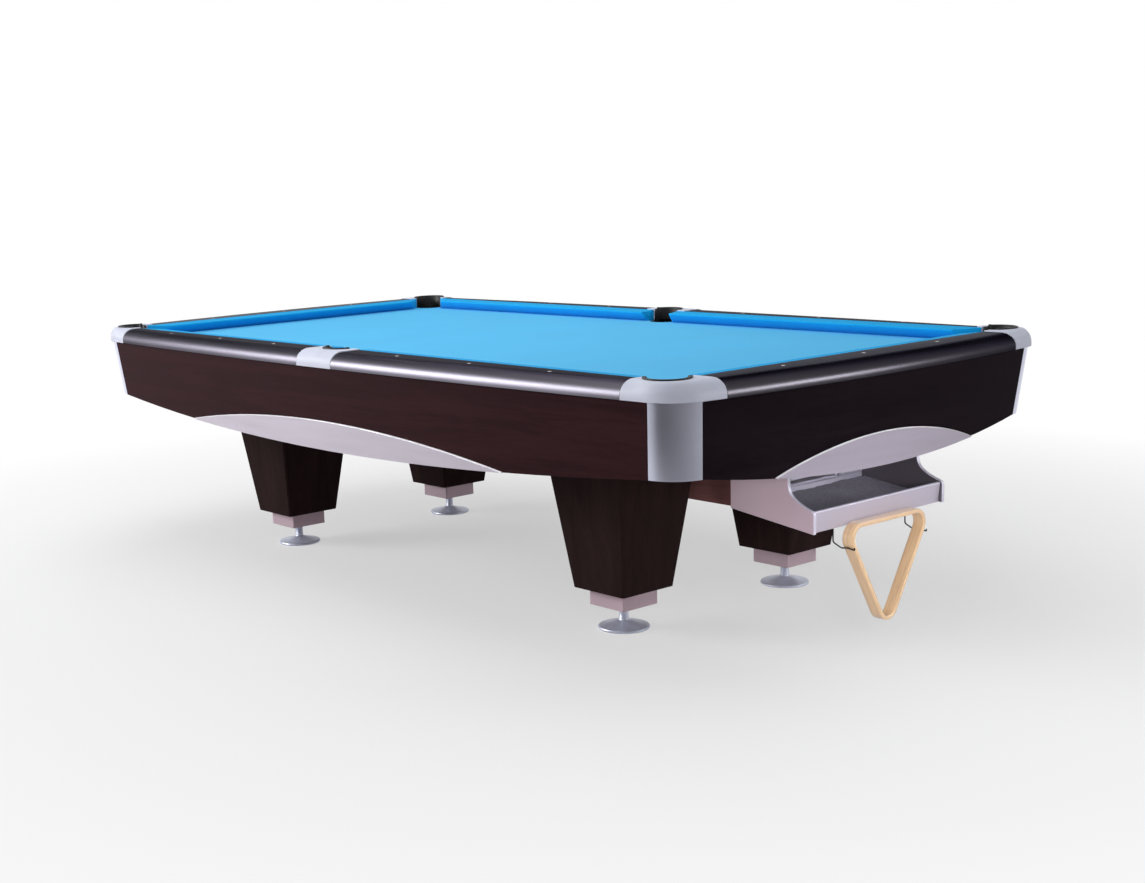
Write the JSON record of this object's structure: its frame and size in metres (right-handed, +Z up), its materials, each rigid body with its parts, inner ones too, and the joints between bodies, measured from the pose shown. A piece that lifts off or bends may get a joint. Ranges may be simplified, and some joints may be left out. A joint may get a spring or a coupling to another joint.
{
  "type": "billiard table",
  "caption": "Slate-bed pool table with bowed bullnose rails, cast pocket caps, tapered legs on leveler feet, a ball collecting tray and a triangle rack hanging on wire hooks.",
  "frame": {"origin": "on the floor, under the middle of the bed", "axes": "+X along the table towards the foot end with the ball box, +Y across it to the left side, +Z up"},
  "size_m": [2.91, 1.594, 0.778],
  "materials": {
    "slate": "matte",
    "bed_cloth": "matte",
    "rail": "satin",
    "cushion": "matte",
    "casting": "satin",
    "liner": "satin",
    "apron": "satin",
    "accent": "satin",
    "frame": "matte",
    "leg": "satin",
    "plinth": "satin",
    "leveler": "satin",
    "ball_box": "satin",
    "chute": "matte",
    "wire": "satin",
    "rack": "satin"
  },
  "bodies": {
    "table": {"slate_head": "slate", "slate_middle": "slate", "slate_foot": "slate", "bed_cloth": "bed_cloth", "right_head_rail": "rail", "right_foot_rail": "rail", "left_head_rail": "rail", "left_foot_rail": "rail", "head_rail": "rail", "foot_rail": "rail", "right_head_cushion": "cushion", "right_foot_cushion": "cushion", "left_head_cushion": "cushion", "left_foot_cushion": "cushion", "head_cushion": "cushion", "foot_cushion": "cushion", "right_head_corner_cap": "casting", "right_foot_corner_cap": "casting", "left_head_corner_cap": "casting", "left_foot_corner_cap": "casting", "right_side_cap": "casting", "left_side_cap": "casting", "right_head_pocket_liner": "liner", "right_foot_pocket_liner": "liner", "left_head_pocket_liner": "liner", "left_foot_pocket_liner": "liner", "right_side_pocket_liner": "liner", "left_side_pocket_liner": "liner", "right_head_corner_post": "casting", "right_foot_corner_post": "casting", "left_head_corner_post": "casting", "left_foot_corner_post": "casting", "right_apron": "apron", "left_apron": "apron", "head_apron": "apron", "foot_apron": "apron", "right_accent_panel": "accent", "left_accent_panel": "accent", "head_accent_panel": "accent", "foot_accent_panel": "accent", "right_frame_beam": "frame", "left_frame_beam": "frame", "head_frame_beam": "frame", "foot_frame_beam": "frame", "head_right_leg": "leg", "head_left_leg": "leg", "foot_right_leg": "leg", "foot_left_leg": "leg", "head_right_plinth": "plinth", "head_left_plinth": "plinth", "foot_right_plinth": "plinth", "foot_left_plinth": "plinth", "ball_box": "ball_box", "return_chute": "chute", "rack_hooks": "wire"},
    "rack": {"triangle_rack": "rack"},
    "head_right_foot": {"head_right_leveler": "leveler"},
    "head_left_foot": {"head_left_leveler": "leveler"},
    "foot_right_foot": {"foot_right_leveler": "leveler"},
    "foot_left_foot": {"foot_left_leveler": "leveler"}
  },
  "joints": [
    {"name": "rack_swing", "type": "hinge", "parent": "table", "child": "rack", "pos_m": [1.43275, 0, 0.2911], "axis": [0, 1, 0], "range_deg": [0, 9]},
    {"name": "head_right_level", "type": "slide", "parent": "table", "child": "head_right_foot", "axis": [0, 0, 1], "range_m": [-0.015, 0.015]},
    {"name": "head_left_level", "type": "slide", "parent": "table", "child": "head_left_foot", "axis": [0, 0, 1], "range_m": [-0.015, 0.015]},
    {"name": "foot_right_level", "type": "slide", "parent": "table", "child": "foot_right_foot", "axis": [0, 0, 1], "range_m": [-0.015, 0.015]},
    {"name": "foot_left_level", "type": "slide", "parent": "table", "child": "foot_left_foot", "axis": [0, 0, 1], "range_m": [-0.015, 0.015]}
  ]
}
